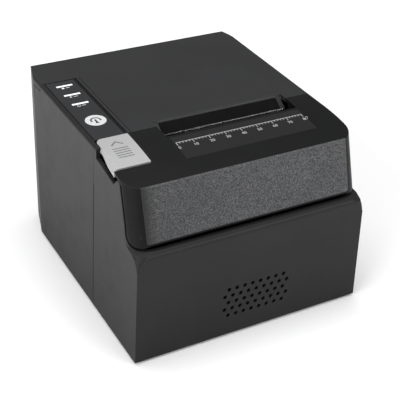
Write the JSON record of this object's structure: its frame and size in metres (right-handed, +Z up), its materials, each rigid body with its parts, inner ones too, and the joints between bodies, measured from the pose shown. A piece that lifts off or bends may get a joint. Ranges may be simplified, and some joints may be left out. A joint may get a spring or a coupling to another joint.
{
  "type": "receipt printer",
  "caption": "Box-shaped desktop thermal receipt printer with a hinged paper lid, hinged cutter cover, release lever, feed key and rear sockets.",
  "frame": {"origin": "middle of the underside, at the plane of the feet", "axes": "+Z up, -Y towards the front face, +X to the right seen from the front"},
  "size_m": [0.145, 0.162, 0.1075],
  "materials": {
    "case_black": "fine-grained matte black moulded plastic",
    "cover_black": "smoother black moulded plastic",
    "lid_black": "fine-grained matte black moulded plastic",
    "inlay_grey": "speckled dark grey panel",
    "strip_grey": "smooth dark grey panel",
    "silver_plastic": "silver grey satin paint on plastic",
    "button_silver": "pale silver moulded key",
    "light_white": "white translucent light guide",
    "film_grey": "plain grey polyester film",
    "inner_plastic": "plain black moulded plastic",
    "gear_white": "natural acetal",
    "bush_black": "black acetal",
    "zinc_steel": "zinc-plated sheet steel",
    "blade_steel": "ground hardened steel",
    "pin_steel": "ground steel pin",
    "spring_steel": "drawn spring wire",
    "motor_steel": "plated steel can",
    "screw_steel": "plated steel screw",
    "heat_alu": "bare aluminium plate",
    "head_ceramic": "glazed ceramic strip",
    "roller_rubber": "dense black silicone rubber",
    "foot_rubber": "soft black rubber",
    "board_green": "green circuit board with black parts",
    "socket_metal": "plated steel socket shell",
    "socket_black": "black moulded socket",
    "socket_pale": "pale moulded socket",
    "rocker_black": "glossy black rocker",
    "sounder_black": "black sounder case"
  },
  "bodies": {
    "case": {"base_tray": "inner_plastic", "rear_case": "case_black", "front_case": "case_black", "rubber_feet": "foot_rubber", "case_screws": "screw_steel", "idler_stud": "pin_steel", "feed_motor": "motor_steel", "head_pivot_rod": "pin_steel", "head_springs": "spring_steel", "mechanism_frame": "zinc_steel", "cutter_motor": "motor_steel", "cutter_base": "inner_plastic", "lever_pin": "pin_steel", "lever_spring": "spring_steel", "control_strip": "strip_grey", "light_bars": "light_white", "key_dome": "spring_steel", "panel_board": "board_green", "paper_bucket": "inner_plastic", "paper_sensor": "sounder_black", "main_board": "board_green", "power_inlet": "socket_black", "data_socket": "socket_metal", "network_socket": "socket_metal", "drawer_socket": "socket_pale", "switch_bezel": "socket_black", "sounder": "sounder_black", "sounder_clip": "inner_plastic"},
    "lid": {"paper_lid": "lid_black", "lid_liner": "inner_plastic", "lid_pins": "pin_steel", "fixed_blade": "blade_steel", "blade_holder": "zinc_steel", "tear_edge": "blade_steel", "platen_bushes": "bush_black"},
    "platen": {"platen_rubber": "roller_rubber", "platen_shaft": "pin_steel", "platen_gear": "gear_white"},
    "cover": {"cutter_cover": "cover_black", "front_inlay": "inlay_grey", "notice_film": "film_grey", "cover_pins": "pin_steel"},
    "lever": {"release_lever": "silver_plastic", "release_arm": "inner_plastic"},
    "head": {"print_head": "head_ceramic", "heat_sink": "heat_alu"},
    "idler": {"idler_gear": "gear_white"},
    "feed_pinion": {"motor_pinion": "gear_white"},
    "cutter_wheel": {"cutter_gear": "gear_white"},
    "cutter_drive": {"cutter_pinion": "gear_white"},
    "blade": {"moving_blade": "blade_steel"},
    "button": {"feed_button": "button_silver"},
    "rocker": {"power_rocker": "rocker_black"}
  },
  "joints": [
    {"name": "lid_hinge", "type": "hinge", "parent": "case", "child": "lid", "pos_m": [0, 0.0745, 0.101], "axis": [-1, 0, 0], "range_deg": [0, 95]},
    {"name": "cover_hinge", "type": "hinge", "parent": "case", "child": "cover", "pos_m": [0, -0.06975, 0.0762], "axis": [1, 0, 0], "range_deg": [0, 35]},
    {"name": "lever_press", "type": "hinge", "parent": "case", "child": "lever", "pos_m": [-0.058, -0.0252, 0.1021], "axis": [1, 0, 0], "range_deg": [0, 6], "stiffness_Nm_per_rad": 0.6, "springref_deg": -5.73, "deforming": ["lever_spring"]},
    {"name": "head_tilt", "type": "hinge", "parent": "case", "child": "head", "pos_m": [0, -0.0245, 0.0705], "axis": [1, 0, 0], "range_deg": [0, 4], "deforming": ["head_springs"]},
    {"name": "platen_spin", "type": "hinge", "parent": "lid", "child": "platen", "pos_m": [0.0115, -0.0125, 0.0855], "axis": [1, 0, 0], "continuous": true},
    {"name": "idler_spin", "type": "hinge", "parent": "case", "child": "idler", "pos_m": [-0.0392, -0.00923, 0.06717], "axis": [1, 0, 0], "continuous": true},
    {"name": "pinion_spin", "type": "hinge", "parent": "case", "child": "feed_pinion", "pos_m": [-0.0392, -0.02152, 0.05252], "axis": [1, 0, 0], "continuous": true},
    {"name": "cutter_gear_turn", "type": "hinge", "parent": "case", "child": "cutter_wheel", "pos_m": [0.0485, -0.041, 0.08148], "axis": [-1, 0, 0], "range_deg": [0, 74.6]},
    {"name": "blade_slide", "type": "slide", "parent": "case", "child": "blade", "axis": [0, 1, 0], "range_m": [0, 0.013]},
    {"name": "cutter_pinion_turn", "type": "hinge", "parent": "case", "child": "cutter_drive", "pos_m": [0.0435, -0.05339, 0.07281], "axis": [-1, 0, 0], "range_deg": [-150, 0]},
    {"name": "feed_button_press", "type": "slide", "parent": "case", "child": "button", "axis": [0, 0, -1], "range_m": [0, 0.0006], "stiffness_N_per_m": 600, "springref_m": -0.0008},
    {"name": "power_switch_rock", "type": "hinge", "parent": "case", "child": "rocker", "pos_m": [-0.052, 0.076, 0.0216], "axis": [1, 0, 0], "range_deg": [0, 16]}
  ],
  "couplings": [
    {"joint": "head_tilt", "follows": "lever_press", "ratio": 0.6},
    {"joint": "idler_spin", "follows": "platen_spin", "ratio": -0.23333},
    {"joint": "pinion_spin", "follows": "platen_spin", "ratio": 0.875},
    {"joint": "cutter_gear_turn", "follows": "blade_slide", "rad_per_m": 100},
    {"joint": "cutter_pinion_turn", "follows": "blade_slide", "rad_per_m": -200}
  ]
}
